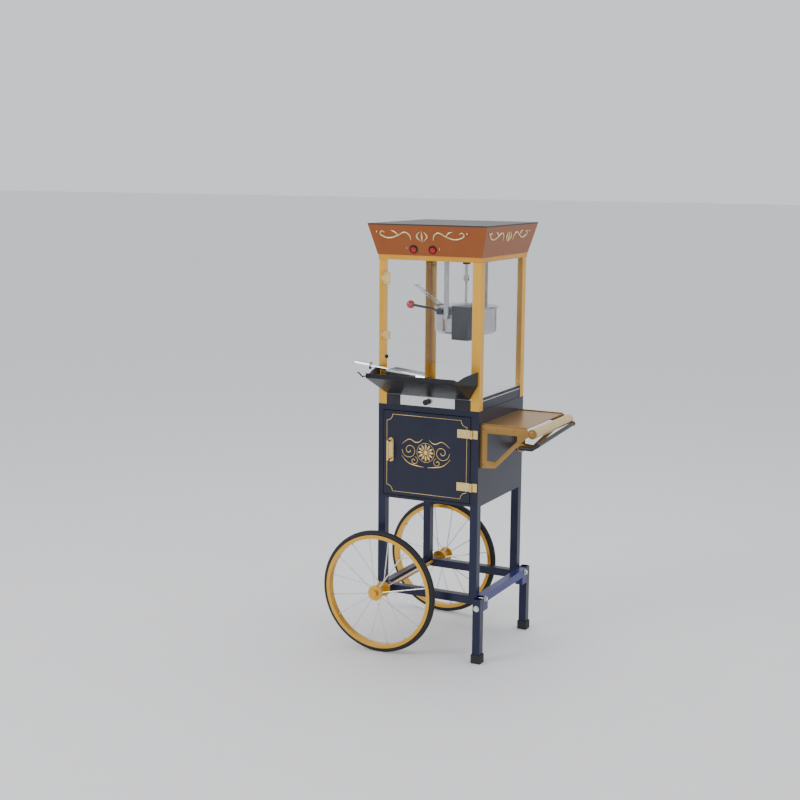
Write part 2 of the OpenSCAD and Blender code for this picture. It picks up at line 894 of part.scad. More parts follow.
module switch_bezels() {
    color([0.1, 0.1, 0.11]) at_cart()
        for (x = [switch_left, switch_right]) at_switch(x)
            difference() {
                union() {
                    cyl_y(0, 0, -3, 0, bezel_r);
                    cyl_y(0, 0, 0, 16, bezel_body_r);
                }
                cyl_y(0, 0, -4, 13, cavity_r);
                cyl_x(rocker_y, 0, -bezel_body_r - 1, bezel_body_r + 1, 1.5 + running);
            }
}

module rocker(x) {
    rocker_r = cavity_r - 1.2;
    color([0.14, 0.14, 0.15]) at_cart() at_switch(x) translate([0, rocker_y, 0]) rotate([rocker_rest, 0, 0]) {
        intersection() {
            cyl_y(0, 0, -10, 8, rocker_r);
            translate([-rocker_r, 0, 0]) rotate([90, 0, 90]) linear_extrude(2 * rocker_r)
                polygon([[-6, 8.4], [-3.5, 0], [-6, -8.4], [3, -8.4], [6, -4], [6, 4], [3, 8.4]]);
        }
        cyl_x(0, 0, 0.2 - bezel_body_r, bezel_body_r - 0.2, 1.5);
    }
}

module left_rocker() { rocker(switch_left); }
module right_rocker() { rocker(switch_right); }

// ---- kernel drawer ----
module kernel_drawer() {
    wall = 1.5;
    tray_z1 = mouth_z1 - 2;
    slack = 1.5;
    color("silver") at_cart() {
        block([drawer_x0, -half_d - 2, drawer_z0], [drawer_x1, -half_d, drawer_z0 + drawer_h]);
        difference() {
            block([mouth_x0 + slack, -half_d, mouth_z0 + 1], [mouth_x1 - slack, drawer_d - half_d, tray_z1]);
            block([mouth_x0 + slack + wall, wall - half_d, mouth_z0 + 1 + wall],
                [mouth_x1 - slack - wall, drawer_d - half_d - wall, tray_z1 + 1]);
        }
    }
}

module drawer_knob() {
    knob_y = -half_d - 2;
    color([0.08, 0.08, 0.08]) at_cart() translate([(drawer_x0 + drawer_x1) / 2, 0, drawer_z0 + drawer_h / 2]) {
        cyl_y(0, 0, knob_y - 7, knob_y, knob_r * 0.55);
        cyl_y(0, 0, knob_y - 15, knob_y - 7, knob_r);
    }
}

// ---- serving tray ----
tray_z = sill_z - 8;
lip_z = top_z + lip_up;
wing_x = half_w - 4.5;

// A flat sheet stretched between small cubes at its corners.
module sheet_between(corners) {
    hull() for (corner = corners) translate(corner) cube(tray_t);
}

// Half the tray's width at a distance y in front of the machine's middle.
function wing_at(y) = wing_x - (wing_x - lip_w / 2) * (y - tray_y) / (lip_y - tray_y);

module serving_tray() {
    w = tray_w / 2;
    l = lip_w / 2;
    dip_y = lip_y - 30;
    crest_y = lip_y - 58;
    hook_z = lip_z + 6;
    color([0.1, 0.1, 0.11]) at_cart() {
        sheet_between([[-w, -tray_y, tray_z], [w - tray_t, -tray_y, tray_z],
            [-l, -lip_y, lip_z], [l - tray_t, -lip_y, lip_z]]);
        sheet_between([[-l, -lip_y, lip_z], [l - tray_t, -lip_y, lip_z],
            [-l, -lip_y, lip_z + 13], [l - tray_t, -lip_y, lip_z + 13]]);
        for (side = [0, 1]) mirror([side, 0, 0]) {
            sheet_between([[w - tray_t, -tray_y, tray_z], [l - tray_t, -lip_y, lip_z],
                [wing_x - tray_t, -tray_y, tray_z + 45]]);
            sheet_between([[wing_x - tray_t, -tray_y, tray_z + 45], [wing_x - tray_t, -tray_y, tray_z + 86],
                [wing_at(crest_y) - tray_t, -crest_y, lip_z + 15], [wing_at(dip_y) - tray_t, -dip_y, lip_z + 1],
                [l - tray_t, -lip_y, lip_z]]);
            sheet_between([[wing_at(dip_y) - tray_t, -dip_y, lip_z + 1], [l - tray_t, -lip_y, lip_z],
                [l - tray_t, -lip_y, lip_z + 13]]);
            // The hook that hangs on the front sill.
            block([90, 0.3 - tray_y, tray_z + 0.3], [110, tray_t + 0.3 - tray_y, sill_z + 2]);
            block([90, 0.5 - tray_y, sill_z + 0.5], [110, -skin_y, sill_z + 2]);
        }
        // Wire hook at the lip's left end.
        bar([1 - l, 1 - lip_y, hook_z], [1 - l, -lip_y - 23, hook_z + 1], wire_r, $fn = 12);
        bar([1 - l, 1 - lip_y - 23, hook_z], [1 - l, 5 - wire_tip_y, hook_z + 16], wire_r, $fn = 12);
        bar([1 - l, 6 - wire_tip_y, hook_z + 16], [1 - l, -wire_tip_y - wire_r, hook_z + 16], wire_r, $fn = 12);
    }
}

// ---- scoop: own frame along X, its handle crosses the tray's left wing at x = 0 ----
scoop_rest_x = -162;
scoop_y = -half_d - 50;
scoop_rest_z = tray_z + 88.6;

module scoop() {
    neck = 42;
    start = 60;
    color("silver") at_cart() translate([scoop_rest_x, scoop_y, scoop_rest_z]) rotate([0, scoop_slope, 0]) {
        translate([-62, 0, 0]) rotate([0, 90, 0]) cylinder(h = 50, r = 12);
        translate([-12, 0, 0]) rotate([0, 90, 0]) cylinder(h = start + 14, r = 5);
        translate([-62, 0, 0]) sphere(r = 12);
        difference() {
            rotate([0, 90, 0]) translate([0, 0, start]) cylinder(h = scoop_l, r = scoop_r);
            rotate([0, 90, 0]) translate([0, 0, start + 2]) cylinder(h = scoop_l, r = scoop_r - 1.5);
            block([start - 1, -2 * scoop_r, 6], [start + scoop_l + 1, 2 * scoop_r, 2 * scoop_r]);
        }
    }
}

// ---- kettle ----
kettle_z = rim_z - kettle_h;
floor_z = kettle_z + 18;
bar_half = 6;
bar_z1 = rim_z + 6;
lug_y = 61;
hinge_z = rim_z + 0.6 + knuckle_r;
lid_pin_r = 1.6;

module kettle_pot() {
    corner = 12;
    skirt_r = kettle_r - 13;
    color("silver") at_cart() at_kettle() translate([0, 0, kettle_z])
        rotate_extrude($fn = 96) {
            difference() {
                union() {
                    square([kettle_r - corner, kettle_h]);
                    translate([0, corner]) square([kettle_r, kettle_h - corner]);
                    translate([kettle_r - corner, corner]) circle(r = corner);
                }
                translate([-1, 18]) square([kettle_r - kettle_wall + 1, kettle_h]);
                translate([-1, -1]) square([skirt_r + 1, 17]);
                translate([-kettle_r, -1]) square([kettle_r, kettle_h + 2]);
            }
        }
}

module kettle_fittings() {
    color("silver") at_cart() at_kettle() {
        // Tilt pivots with a collar inside each strap and a head outside.
        difference() {
            for (side = [0, 180]) rotate([0, 0, side]) {
                cyl_y(0, pivot_z, kettle_r - 3, strap_y + strap_t + 4, pivot_r);
                cyl_y(0, pivot_z, kettle_r - 3, strap_y - 0.6, pivot_r + 4);
                cyl_y(0, pivot_z, strap_y + strap_t + 0.6, strap_y + strap_t + 4, pivot_r + 3);
            }
            translate([0, 0, kettle_z]) cylinder(h = kettle_h, r = kettle_r, $fn = 96);
        }
        // Bar across the rim, with the stirrer's bearing and the lid pins' lugs.
        difference() {
            union() {
                block([-bar_half, 1 - kettle_r, rim_z], [bar_half, kettle_r - 1, bar_z1]);
                translate([0, 0, rim_z - 4]) cylinder(h = bar_z1 + 2 - rim_z + 4, r = stirrer_d / 2 + 1.5);
                for (y = [-lug_y, lug_y])
                    block([-lid_hinge_x - 3.5, y - 2, hinge_z - 2.4], [lid_hinge_x + 3.5, y + 2, hinge_z + 3]);
            }
            translate([0, 0, rim_z - 5]) cylinder(h = 20, r = stirrer_d / 2 + running);
        }
        for (x = [-lid_hinge_x, lid_hinge_x]) cyl_y(x, hinge_z, 2 - lug_y, lug_y - 2, lid_pin_r);
    }
}

// Half of the lid, on the -X side, with its knuckle and the notches for the lugs.
module half_lid() {
    lid_t = 1.5;
    lid_z = rim_z + 0.6;
    difference() {
        union() {
            difference() {
                translate([0, 0, lid_z]) cylinder(h = lid_t, r = kettle_r + 2, $fn = 96);
                block([-lid_hinge_x, -2 * kettle_r, lid_z - 1], [2 * kettle_r, 2 * kettle_r, lid_z + 3]);
            }
            cyl_y(-lid_hinge_x, hinge_z, 3 - lug_y, lug_y - 3, knuckle_r);
        }
        cyl_y(-lid_hinge_x, hinge_z, -lug_y, lug_y, lid_pin_r + running);
        for (y = [-lug_y, lug_y])
            block([-lid_hinge_x - 5, y - 3, lid_z - 1], [0, y + 3, lid_z + 4]);
    }
}

module left_lid() {
    color("silver") at_cart() at_kettle() {
        half_lid();
        // Wire handle: a riveted foot, two legs and a cross piece.
        block([12 - kettle_r, -42, rim_z + 1], [26 - kettle_r, -18, rim_z + 5]);
        for (y = [-22, -38]) {
            bar([-kettle_r + 20, y, rim_z + 4], [-kettle_r - 75, y, rim_z + 58], wire_r);
            translate([-kettle_r - 75, y, rim_z + 58]) sphere(r = wire_r + 0.5);
        }
        bar([-kettle_r - 75, -38, rim_z + 58], [-kettle_r - 75, -22, rim_z + 58], wire_r);
    }
}

module right_lid() {
    color("silver") at_cart() at_kettle() {
        mirror([1, 0, 0]) half_lid();
        block([kettle_r - 6, -9, rim_z + 2.1], [kettle_r + 21, 9, rim_z + 4.1]);
    }
}

blade_r = kettle_r - 14;

module stirrer() {
    shaft_r = stirrer_d / 2;
    color("silver") at_cart() at_kettle() {
        translate([0, 0, floor_z + 2]) cylinder(h = fork_z - 6 - floor_z - 2, r = shaft_r);
        block([-tongue_w / 2, -tongue_t / 2, fork_z - 8], [tongue_w / 2, tongue_t / 2, fork_z + 6]);
        difference() {
            block([-blade_r, -2, floor_z + 2], [blade_r, 2, floor_z + 10]);
            translate([0, 0, floor_z]) cylinder(h = 12, r = shaft_r - 0.5);
        }
    }
}

module terminal_box() {
    color([0.09, 0.09, 0.1]) at_cart() at_kettle()
        difference() {
            block([18, -kettle_r - 7, kettle_z - 13], [78, 19 - kettle_r, rim_z + 9]);
            translate([0, 0, kettle_z - 20]) cylinder(h = rim_z - 2 - kettle_z + 20, r = kettle_r, $fn = 96);
            translate([0, 0, rim_z - 2 - eps]) cylinder(h = 20, r = kettle_r + 3, $fn = 96);
        }
}

ball_at = [-kettle_r - 51.4, ball_d / 2 + 1.2 - strap_y, rim_z + 3];
rod_elbow = [-58, -kettle_r - 3, rim_z - 4];
tilt_rod_r = 4;

module ball_rod() {
    bar(rod_elbow, ball_at, tilt_rod_r);
}

module tilt_rod() {
    root_x = -34;
    root_z = pivot_z + 14;
    rod_root = [root_x, -kettle_r - 3, root_z];
    color([0.13, 0.13, 0.14]) at_cart() at_kettle() {
        difference() {
            block([root_x - 9, -kettle_r - 3, root_z - 9], [root_x + 9, 12 - kettle_r, root_z + 9]);
            translate([0, 0, root_z - 20]) cylinder(h = 40, r = kettle_r, $fn = 96);
        }
        bar(rod_root, rod_elbow, tilt_rod_r);
        translate(rod_elbow) sphere(r = tilt_rod_r + 0.4);
        ball_rod();
    }
}

module tilt_ball() {
    color("crimson") at_cart() at_kettle()
        difference() {
            translate(ball_at) sphere(r = ball_d / 2);
            ball_rod();
        }
}

cabinet_sides();
cabinet_back();
cabinet_floor();
cabinet_top();
cabinet_front();
main_legs();
lower_rails();
right_rail();
lower_legs();
frame_bolts();
rubber_feet();
axle();
shelf_plate();
shelf_brackets();
shelf_grip();
push_rod();
cabinet_hinges();
door_catch();
front_tyre();
front_rim();
front_spokes();
front_hub();
rear_tyre();
rear_rim();
rear_spokes();
rear_hub();
storage_door();
storage_pull();
storage_leaves();
base_pan();
base_fascia();
deck_plate();
corner_posts();
windows();
canopy_shell();
canopy_trim();
canopy_top();
ceiling_plate();
hanger_straps();
drive_motor();
lamp();
switch_bezels();
power_inlet();
front_pane();
pane_clips();
kernel_drawer();
drawer_knob();
serving_tray();
scoop();
kettle_pot();
kettle_fittings();
terminal_box();
tilt_rod();
tilt_ball();
left_lid();
right_lid();
drive_shaft();
stirrer();
left_rocker();
right_rocker();
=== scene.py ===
import math

import bmesh
import bpy
from mathutils import Matrix, Vector


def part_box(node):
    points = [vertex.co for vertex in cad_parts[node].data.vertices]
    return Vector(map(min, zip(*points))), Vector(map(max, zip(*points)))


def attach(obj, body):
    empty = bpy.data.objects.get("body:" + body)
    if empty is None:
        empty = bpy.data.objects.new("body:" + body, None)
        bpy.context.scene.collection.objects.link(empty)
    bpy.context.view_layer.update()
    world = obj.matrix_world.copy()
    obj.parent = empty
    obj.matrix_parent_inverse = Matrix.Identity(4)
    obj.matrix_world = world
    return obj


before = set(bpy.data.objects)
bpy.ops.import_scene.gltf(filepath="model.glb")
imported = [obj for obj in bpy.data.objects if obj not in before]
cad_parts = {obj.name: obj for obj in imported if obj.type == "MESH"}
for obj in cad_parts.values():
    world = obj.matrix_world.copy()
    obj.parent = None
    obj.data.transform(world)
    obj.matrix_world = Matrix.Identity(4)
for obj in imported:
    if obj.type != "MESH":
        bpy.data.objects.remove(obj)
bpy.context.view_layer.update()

# ---- Camera ----
# Stands in front of the cart and to its right, a little above the canopy, and looks slightly down.
# Its place is measured from the middle of the cabinet, on the floor.
cabinet_low, cabinet_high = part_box("cabinet_sides")
front_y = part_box("cabinet_front")[0][1]
back_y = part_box("cabinet_back")[1][1]
middle = Vector(((cabinet_low[0] + cabinet_high[0]) / 2, (front_y + back_y) / 2, 0))
camera = bpy.data.objects.new("camera", bpy.data.cameras.new("camera"))
camera.data.sensor_width = 36
camera.data.lens = 64.2
camera.matrix_world = (
    Matrix.Translation(middle + Vector((1.8745, -4.0859, 1.5163)))
    @ Matrix.Rotation(math.radians(26.77), 4, "Z")
    @ Matrix.Rotation(math.radians(90 - 9.28), 4, "X")
    @ Matrix.Rotation(math.radians(0.44), 4, "Z")
)
bpy.context.scene.collection.objects.link(camera)
bpy.context.scene.camera = camera


# ---- Floor and light ----
# A plain pale floor under a bright even room, one large soft lamp on each side and one from above.
# The node class wires every material in this file, and its arithmetic adds Math nodes.
class Link:
    """A socket in a material, with arithmetic that adds Math nodes."""

    def __init__(self, tree, socket=None):
        self.tree, self.socket = tree, socket

    def node(self, kind, settings=None, inputs=None, out=0):
        """Adds a node of this kind, makes its settings, then fills or links its sockets."""
        made = self.tree.nodes.new("ShaderNode" + kind)
        for name, value in (settings or {}).items():
            if name == "stops":
                for index, (place, shade) in enumerate(value):
                    elements = made.color_ramp.elements
                    stop = elements[index] if index < 2 else elements.new(place)
                    stop.position = place
                    stop.color = (shade, shade, shade, 1)
            else:
                setattr(made, name, value)
        for name, value in (inputs or {}).items():
            if isinstance(value, Link):
                self.tree.links.new(value.socket, made.inputs[name])
            else:
                made.inputs[name].default_value = value
        return Link(self.tree, made.outputs[out] if made.outputs else None)

    def maths(self, operation, first, second):
        return self.node("Math", {"operation": operation}, {0: first, 1: second})

    def __add__(self, other):
        return self.maths("ADD", self, other)

    def __mul__(self, other):
        return self.maths("MULTIPLY", self, other)

    __radd__ = __add__
    __rmul__ = __mul__

    def blend(self, first, second):
        """A colour between two colours, with this link as the share of the second."""
        return self.node("Mix", {"data_type": "RGBA"}, {0: self, 6: first, 7: second}, out=2)

    def noise(self, scale, detail=3.0, stretch=(1, 1, 1)):
        """Noise over the piece in metres, drawn out along an axis by a small stretch."""
        place = self.node("TexCoord", out=3)
        place = self.node("Mapping", inputs={"Vector": place, "Scale": stretch})
        return self.node("TexNoise", inputs={"Vector": place, "Scale": scale, "Detail": detail})

    def edges(self, width):
        """1 on the sharp outer edges and 0 elsewhere."""
        bent = self.node("NewGeometry", out=7)
        stops = [(0.5 + width / 2, 0.0), (0.5 + width, 1.0)]
        return self.node("ValToRGB", {"stops": stops}, {"Fac": bent})


def surface(name):
    material = bpy.data.materials.new(name)
    material.use_nodes = True
    material.node_tree.nodes.clear()
    return material, Link(material.node_tree)


def finish(link, sockets):
    """Ends a material in a Principled surface with these sockets."""
    shader = link.node("BsdfPrincipled", inputs=sockets)
    link.node("OutputMaterial", inputs={"Surface": shader})


floor_paint, link = surface("floor_paint")
speckle = link.noise(9.0)
finish(link, {"Base Color": speckle.blend((0.80, 0.80, 0.80, 1), (0.84, 0.84, 0.835, 1)),
              "Roughness": 0.55 + speckle * 0.15})
shape = bmesh.new()
bmesh.ops.create_grid(shape, x_segments=2, y_segments=2, size=60.0)
mesh = bpy.data.meshes.new("floor")
shape.to_mesh(mesh)
mesh.materials.append(floor_paint)
floor = bpy.data.objects.new("floor", mesh)
bpy.context.scene.collection.objects.link(floor)

world = bpy.data.worlds.new("room")
world.use_nodes = True
world.node_tree.nodes["Background"].inputs["Color"].default_value = (0.93, 0.95, 1.0, 1)
world.node_tree.nodes["Background"].inputs["Strength"].default_value = 1.0
bpy.context.scene.world = world
for lamp_name, place, size, watts in (
    ("key_light", (-2.2, -3.6, 2.9), 1.8, 70),
    ("side_light", (3.4, -1.6, 2.2), 1.6, 14),
    ("top_light", (0.4, 0.8, 3.8), 2.4, 40),
):
    lamp = bpy.data.lights.new(lamp_name, "AREA")
    lamp.size = size
    lamp.energy = watts
    stand = bpy.data.objects.new(lamp_name, lamp)
    stand.location = place
    stand.rotation_euler = (Vector((0, 0, 0.8)) - Vector(place)).to_track_quat("-Z", "Y").to_euler()
    bpy.context.scene.collection.objects.link(stand)


# ---- Legs and lower rails ----
# Square steel tube in a dark navy powder coat, bolted at the corners.
# The coat has a fine orange peel, small shade changes and a rubbed, brighter edge.
def bumped(link, height, depth):
    """A normal from a height of 0 to 1 that stands for a depth in metres."""
    return link.node("Bump", inputs={"Height": height, "Strength": 0.6, "Distance": depth})


def wear(node_names, material):
    """Gives CAD nodes this material."""
    for node_name in node_names:
        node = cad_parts[node_name]
        node.data.materials.clear()
        node.data.materials.append(material)


def metallic_coat(name, colour, rough=0.34, metal=0.75, rub=0.25, peel=420.0):
    material, link = surface(name)
    cloud = link.noise(14.0, 4.0)
    grain = link.noise(peel, 2.0)
    flake = link.noise(2600.0, 0.0)
    deep = tuple(c * 0.80 for c in colour) + (1,)
    light = tuple(min(1, c * 1.18 + 0.01) for c in colour) + (1,)
    rubbed = tuple(min(1, c * 1.5 + 0.05) for c in colour) + (1,)
    base = (cloud * 0.7 + flake * 0.3).blend(deep, light)
    finish(link, {
        "Base Color": (link.edges(0.10) * rub).blend(base, rubbed),
        "Metallic": metal,
        "Roughness": cloud * 0.10 + grain * 0.06 + (rough - 0.08),
        "Specular IOR Level": 0.22,
        "Coat Weight": 0.10,
        "Coat Roughness": 0.12,
        "Normal": bumped(link, grain, 0.00012),
    })
    return material


leg_navy = metallic_coat("leg_navy", (0.006, 0.009, 0.036), rough=0.32, metal=0.0, rub=0.06)
wear(["main_legs", "lower_rails", "lower_legs"], leg_navy)

# ---- Right rail and feet ----
# The right rail is the navy frame steel painted a brighter blue as a painted sheen for the light it catches,
# and is bolted to the lower legs through its corner blocks.
# The feet are moulded rubber caps, pushed over the ends of the lower legs.
# Painted sheen: the same navy coat as the legs, made brighter blue to stand for the light on the rail.
rail_blue = metallic_coat("rail_blue", (0.012, 0.018, 0.13), rough=0.28, metal=0.2, rub=0.12)
wear(["right_rail"], rail_blue)


def moulded(name, colour, rough, grain_size=900.0, depth=0.00008):
    """Moulded rubber or plastic: an even colour with a fine skin and slight scuffs."""
    material, link = surface(name)
    skin = link.noise(grain_size, 2.0)
    scuff = link.noise(38.0, 5.0)
    light = tuple(min(1, c * 1.5 + 0.012) for c in colour) + (1,)
    finish(link, {
        "Base Color": (scuff * 0.55).blend(tuple(colour) + (1,), light),
        "Roughness": scuff * 0.16 + skin * 0.06 + (rough - 0.1),
        "Specular IOR Level": 0.22,
        "Normal": bumped(link, skin, depth),
    })
    return material


foot_rubber = moulded("foot_rubber", (0.022, 0.022, 0.024), 0.72)
wear(["rubber_feet"], foot_rubber)


# ---- Bolts ----
# Zinc plated hexagon bolts hold the frame together.
# Each visible head is a hexagon on a thin round washer, with its edges eased.
def brushed(name, colour, rough=0.26, along="x", tint=0.08):
    """Brushed or rolled metal, with the grain along one axis."""
    material, link = surface(name)
    stretch = {"x": (0.03, 1, 1), "y": (1, 0.03, 1), "z": (1, 1, 0.03)}[along]
    hair = link.noise(700.0, 4.0, stretch)
    cloud = link.noise(11.0, 3.0)
    deep = tuple(c * (1 - tint) for c in colour) + (1,)
    light = tuple(min(1, c * (1 + tint)) for c in colour) + (1,)
    finish(link, {
        "Base Color": (hair * 0.6 + cloud * 0.4).blend(deep, light),
        "Metallic": 1.0,
        "Roughness": hair * 0.16 + cloud * 0.08 + (rough - 0.12),
        "Normal": bumped(link, hair, 0.00006),
    })
    return material


zinc = brushed("zinc", (0.66, 0.67, 0.68), 0.3, "z")
wear(["frame_bolts"], zinc)


def add_piece(name, shape, material, body, smooth=False, round_edge=0.0):
    """Turns a bmesh into a finished piece that rides on a body."""
    bmesh.ops.remove_doubles(shape, verts=shape.verts, dist=1e-6)
    bmesh.ops.recalc_face_normals(shape, faces=shape.faces)
    mesh = bpy.data.meshes.new(name)
    shape.to_mesh(mesh)
    shape.free()
    mesh.materials.append(material)
    if smooth:
        mesh.shade_smooth()
    made = bpy.data.objects.new(name, mesh)
    bpy.context.scene.collection.objects.link(made)
    if round_edge:
        bevel = made.modifiers.new("edge", "BEVEL")
        bevel.width = round_edge
        bevel.segments = 2
        bevel.limit_method = "ANGLE"
    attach(made, body)
    return made


def dome(shape, place, outward, radius, height, sides=12):
    """A low round head, such as a rivet's, standing on a face at place."""
    turn = Vector(outward).to_track_quat("Z", "Y").to_matrix().to_4x4()
    seat = Matrix.Translation(place) @ turn @ Matrix.Diagonal((radius, radius, height, 1))
    made = bmesh.ops.create_uvsphere(shape, u_segments=sides, v_segments=8, radius=1.0)["verts"]
    below = [v for v in made if v.co.z < -0.01]
    for vert in below:
        vert.co.z = -0.05
    bmesh.ops.transform(shape, matrix=seat, verts=made)


def hexagon(shape, place, outward, radius, height):
    """A hexagon head on a thin round washer."""
    turn = Vector(outward).to_track_quat("Z", "Y").to_matrix().to_4x4()
    seat = Matrix.Translation(place) @ turn
    for size, low, high, sides in ((radius * 1.25, 0, 0.0012, 24), (radius, 0.0012, height, 6)):
        made = bmesh.ops.create_cone(shape, cap_ends=True, segments=sides, radius1=size,
                                     radius2=size, depth=high - low)["verts"]
        bmesh.ops.transform(shape, matrix=seat @ Matrix.Translation((0, 0, (low + high) / 2)), verts=made)


leg_low, leg_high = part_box("lower_legs")
rail_low, rail_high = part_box("right_rail")
bolt_x = (leg_low[0] + leg_high[0]) / 2
block_z = rail_low[2] + 0.0125
rail_bolt_z = rail_high[2] - 0.0127
shape = bmesh.new()
for side, edge in ((-1, leg_low[1]), (1, leg_high[1])):
    hexagon(shape, (bolt_x, edge, block_z), (0, side, 0), 0.0075, 0.0062)
    hexagon(shape, (rail_high[0], middle.y + side * (back_y - middle.y - 0.0127), rail_bolt_z),
            (1, 0, 0), 0.0075, 0.0062)
add_piece("bolt_heads", shape, zinc, "cart", round_edge=0.0005)

# ---- Axle ----
# A steel rod with spacers and cap nuts, which runs through the frame below the cabinet.
# It wears the gold coat of the wheels that turn on it.
wheel_gold = metallic_coat("wheel_gold", (0.60, 0.32, 0.030), rough=0.3, metal=0.6)
wear(["axle"], wheel_gold)

# ---- Wheels ----
# A black rubber tyre on a gold rim, thin polished spokes and a gold hub with two flanges.
# The tyre has moulded ribs round its tread, and brass nipples stand round the inside of the rim.
tyre_rubber = moulded("tyre_rubber", (0.018, 0.018, 0.020), 0.66, 500.0, 0.00015)
spoke_steel = brushed("spoke_steel", (0.78, 0.78, 0.80), 0.2, "y")
nipple_brass = brushed("nipple_brass", (0.80, 0.60, 0.28), 0.25, "y")
spokes = 16


def ring(shape, centre, radius, thick, around="y", steps=96, section=10):
    """A round ring of round section, by spinning a circle about an axis."""
    axis = {"x": Vector((1, 0, 0)), "y": Vector((0, 1, 0)), "z": Vector((0, 0, 1))}[around]
    start = Vector((1, 0, 0)) if around != "x" else Vector((0, 0, 1))
    made = bmesh.ops.create_circle(shape, segments=section, radius=thick)["verts"]
    basis = Matrix((start, axis, start.cross(axis))).transposed().to_4x4()
    bmesh.ops.transform(shape, matrix=Matrix.Translation(Vector(centre) + start * radius) @ basis, verts=made)
    loop = list({edge for vert in made for edge in vert.link_edges})
    bmesh.ops.spin(shape, geom=loop, cent=centre, axis=axis, angle=2 * math.pi,
                   steps=steps, use_merge=True)


for wheel, outer in (("front", -1), ("rear", 1)):
    body = wheel + "_wheel"
    wear([wheel + "_tyre"], tyre_rubber)
    wear([wheel + "_rim", wheel + "_hub"], wheel_gold)
    wear([wheel + "_spokes"], spoke_steel)
    low, high = (Vector(corner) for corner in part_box(wheel + "_tyre"))
    centre = (low + high) / 2
    rim_low, rim_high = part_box(wheel + "_rim")
    hub_low, hub_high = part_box(wheel + "_hub")
    tyre_radius = (high.z - low.z) / 2

    shape = bmesh.new()
    for offset in (-0.0052, -0.0026, 0.0, 0.0026, 0.0052):
        reach = math.sqrt(0.0098 ** 2 - offset ** 2)
        rib = centre + Vector((0, offset, 0))
        ring(shape, rib, tyre_radius - 0.010 + reach - 0.0005, 0.0006, steps=128, section=6)
    add_piece(wheel + "_tyre_ribs", shape, tyre_rubber, body, smooth=True)

    shape = bmesh.new()
    for index in range(spokes):
        angle = (index + 0.5) * 2 * math.pi / spokes
        out = Vector((math.cos(angle), 0, -math.sin(angle)))
        dome(shape, centre + out * (rim_high[2] - centre.z - 0.0108), -out, 0.0030, 0.007, 10)
    add_piece(wheel + "_nipples", shape, nipple_brass, body, smooth=True)

    shape = bmesh.new()
    for edge in (hub_low[1] + 0.006, hub_high[1] - 0.006):
        ring(shape, (centre.x, edge, centre.z), 0.0145, 0.0012, steps=48, section=8)
    for edge in (rim_low[1] + 0.0009, rim_high[1] - 0.0009):
        ring(shape, (centre.x, edge, centre.z), rim_high[2] - centre.z - 0.0004, 0.0011, steps=96, section=8)
    add_piece(wheel + "_beads", shape, wheel_gold, body, smooth=True)

# ---- Cabinet ----
# Folded sheet steel in a deep navy enamel, and the door is a pan of the same sheet.
# A dark moulded magnet catch holds the door shut.
navy = metallic_coat("navy", (0.007, 0.009, 0.026), rough=0.30, metal=0.0, rub=0.06, peel=300.0)
wear(["cabinet_sides", "cabinet_back", "cabinet_floor", "cabinet_top", "cabinet_front", "storage_door"], navy)
catch_grey = moulded("catch_grey", (0.05, 0.05, 0.055), 0.5)
wear(["door_catch"], catch_grey)


# ---- Gold lines on the storage door ----
# A gold border with cut-in corners, and a rosette between two scrolls in the middle.
# Each line stands just proud of the door's face.
def gilt(name, colour, rough):
    """Gold print or plating with worn, darker patches."""
    material, link = surface(name)
    patch = link.noise(60.0, 5.0)
    fine = link.noise(900.0, 2.0)
    deep = tuple(c * 0.62 for c in colour) + (1,)
    finish(link, {
        "Base Color": patch.blend(deep, tuple(min(1, c * 1.15) for c in colour) + (1,)),
        "Metallic": 0.9,
        "Roughness": patch * 0.2 + (rough - 0.1),
        "Normal": bumped(link, fine, 0.00005),
    })
    return material


print_gold = gilt("print_gold", (0.80, 0.57, 0.22), 0.34)


def strokes(name, lines, material, body, thick, closed=False):
    """Raised strokes along smooth lines. A point is (place, share of the thickness)."""
    curve = bpy.data.curves.new(name, "CURVE")
    curve.dimensions = "3D"
    curve.bevel_depth = thick
    curve.bevel_resolution = 2
    curve.resolution_u = 8
    for line in lines:
        spline = curve.splines.new("BEZIER")
        spline.bezier_points.add(len(line) - 1)
        spline.use_cyclic_u = closed
        for point, (place, share) in zip(spline.bezier_points, line):
            point.co = place
            point.radius = share
            point.handle_left_type = "VECTOR" if closed else "AUTO"
            point.handle_right_type = point.handle_left_type
    drawn = bpy.data.objects.new(name + "_line", curve)
    bpy.context.scene.collection.objects.link(drawn)
    mesh = bpy.data.meshes.new_from_object(drawn.evaluated_get(bpy.context.evaluated_depsgraph_get()))
    bpy.data.objects.remove(drawn)
    shape = bmesh.new()
    shape.from_mesh(mesh)
    bpy.data.meshes.remove(mesh)
    bmesh.ops.holes_fill(shape, edges=shape.edges, sides=0)
    return add_piece(name, shape, material, body, smooth=True)


door_low, door_high = (Vector(corner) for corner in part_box("storage_door"))
face_y = door_low.y - 0.0002
inset, notch = 0.011, 0.020
left, right = door_low.x + inset, door_high.x - inset
floor_z, head_z = door_low.z + inset, door_high.z - inset
border = []
for corner_x, corner_z, turn_x, turn_z in ((left, floor_z, 1, 1), (right, floor_z, -1, 1),
                                           (right, head_z, -1, -1), (left, head_z, 1, -1)):
    arc = [(corner_x + turn_x * notch * math.cos(step * math.pi / 12), face_y,
            corner_z + turn_z * notch * math.sin(step * math.pi / 12)) for step in range(7)]
    border += arc if turn_x * turn_z < 0 else arc[::-1]
strokes("door_border", [[(place, 1.0) for place in border]], print_gold, "storage",
        thick=0.0011, closed=True)


def spiral(centre, face, start, turns, reach):
    """Points of a curl that winds out from its eye. face gives the two directions of its plane."""
    across, up = face
    steps = int(turns * 10)
    line = []
    for step in range(steps + 1):
        part = step / steps
        angle = start + part * turns * 2 * math.pi
        radius = reach * (0.12 + 0.88 * part)
        place = Vector(centre) + across * radius * math.cos(angle) + up * radius * math.sin(angle)
        line.append((place, 1.0 - 0.4 * part))
    return line


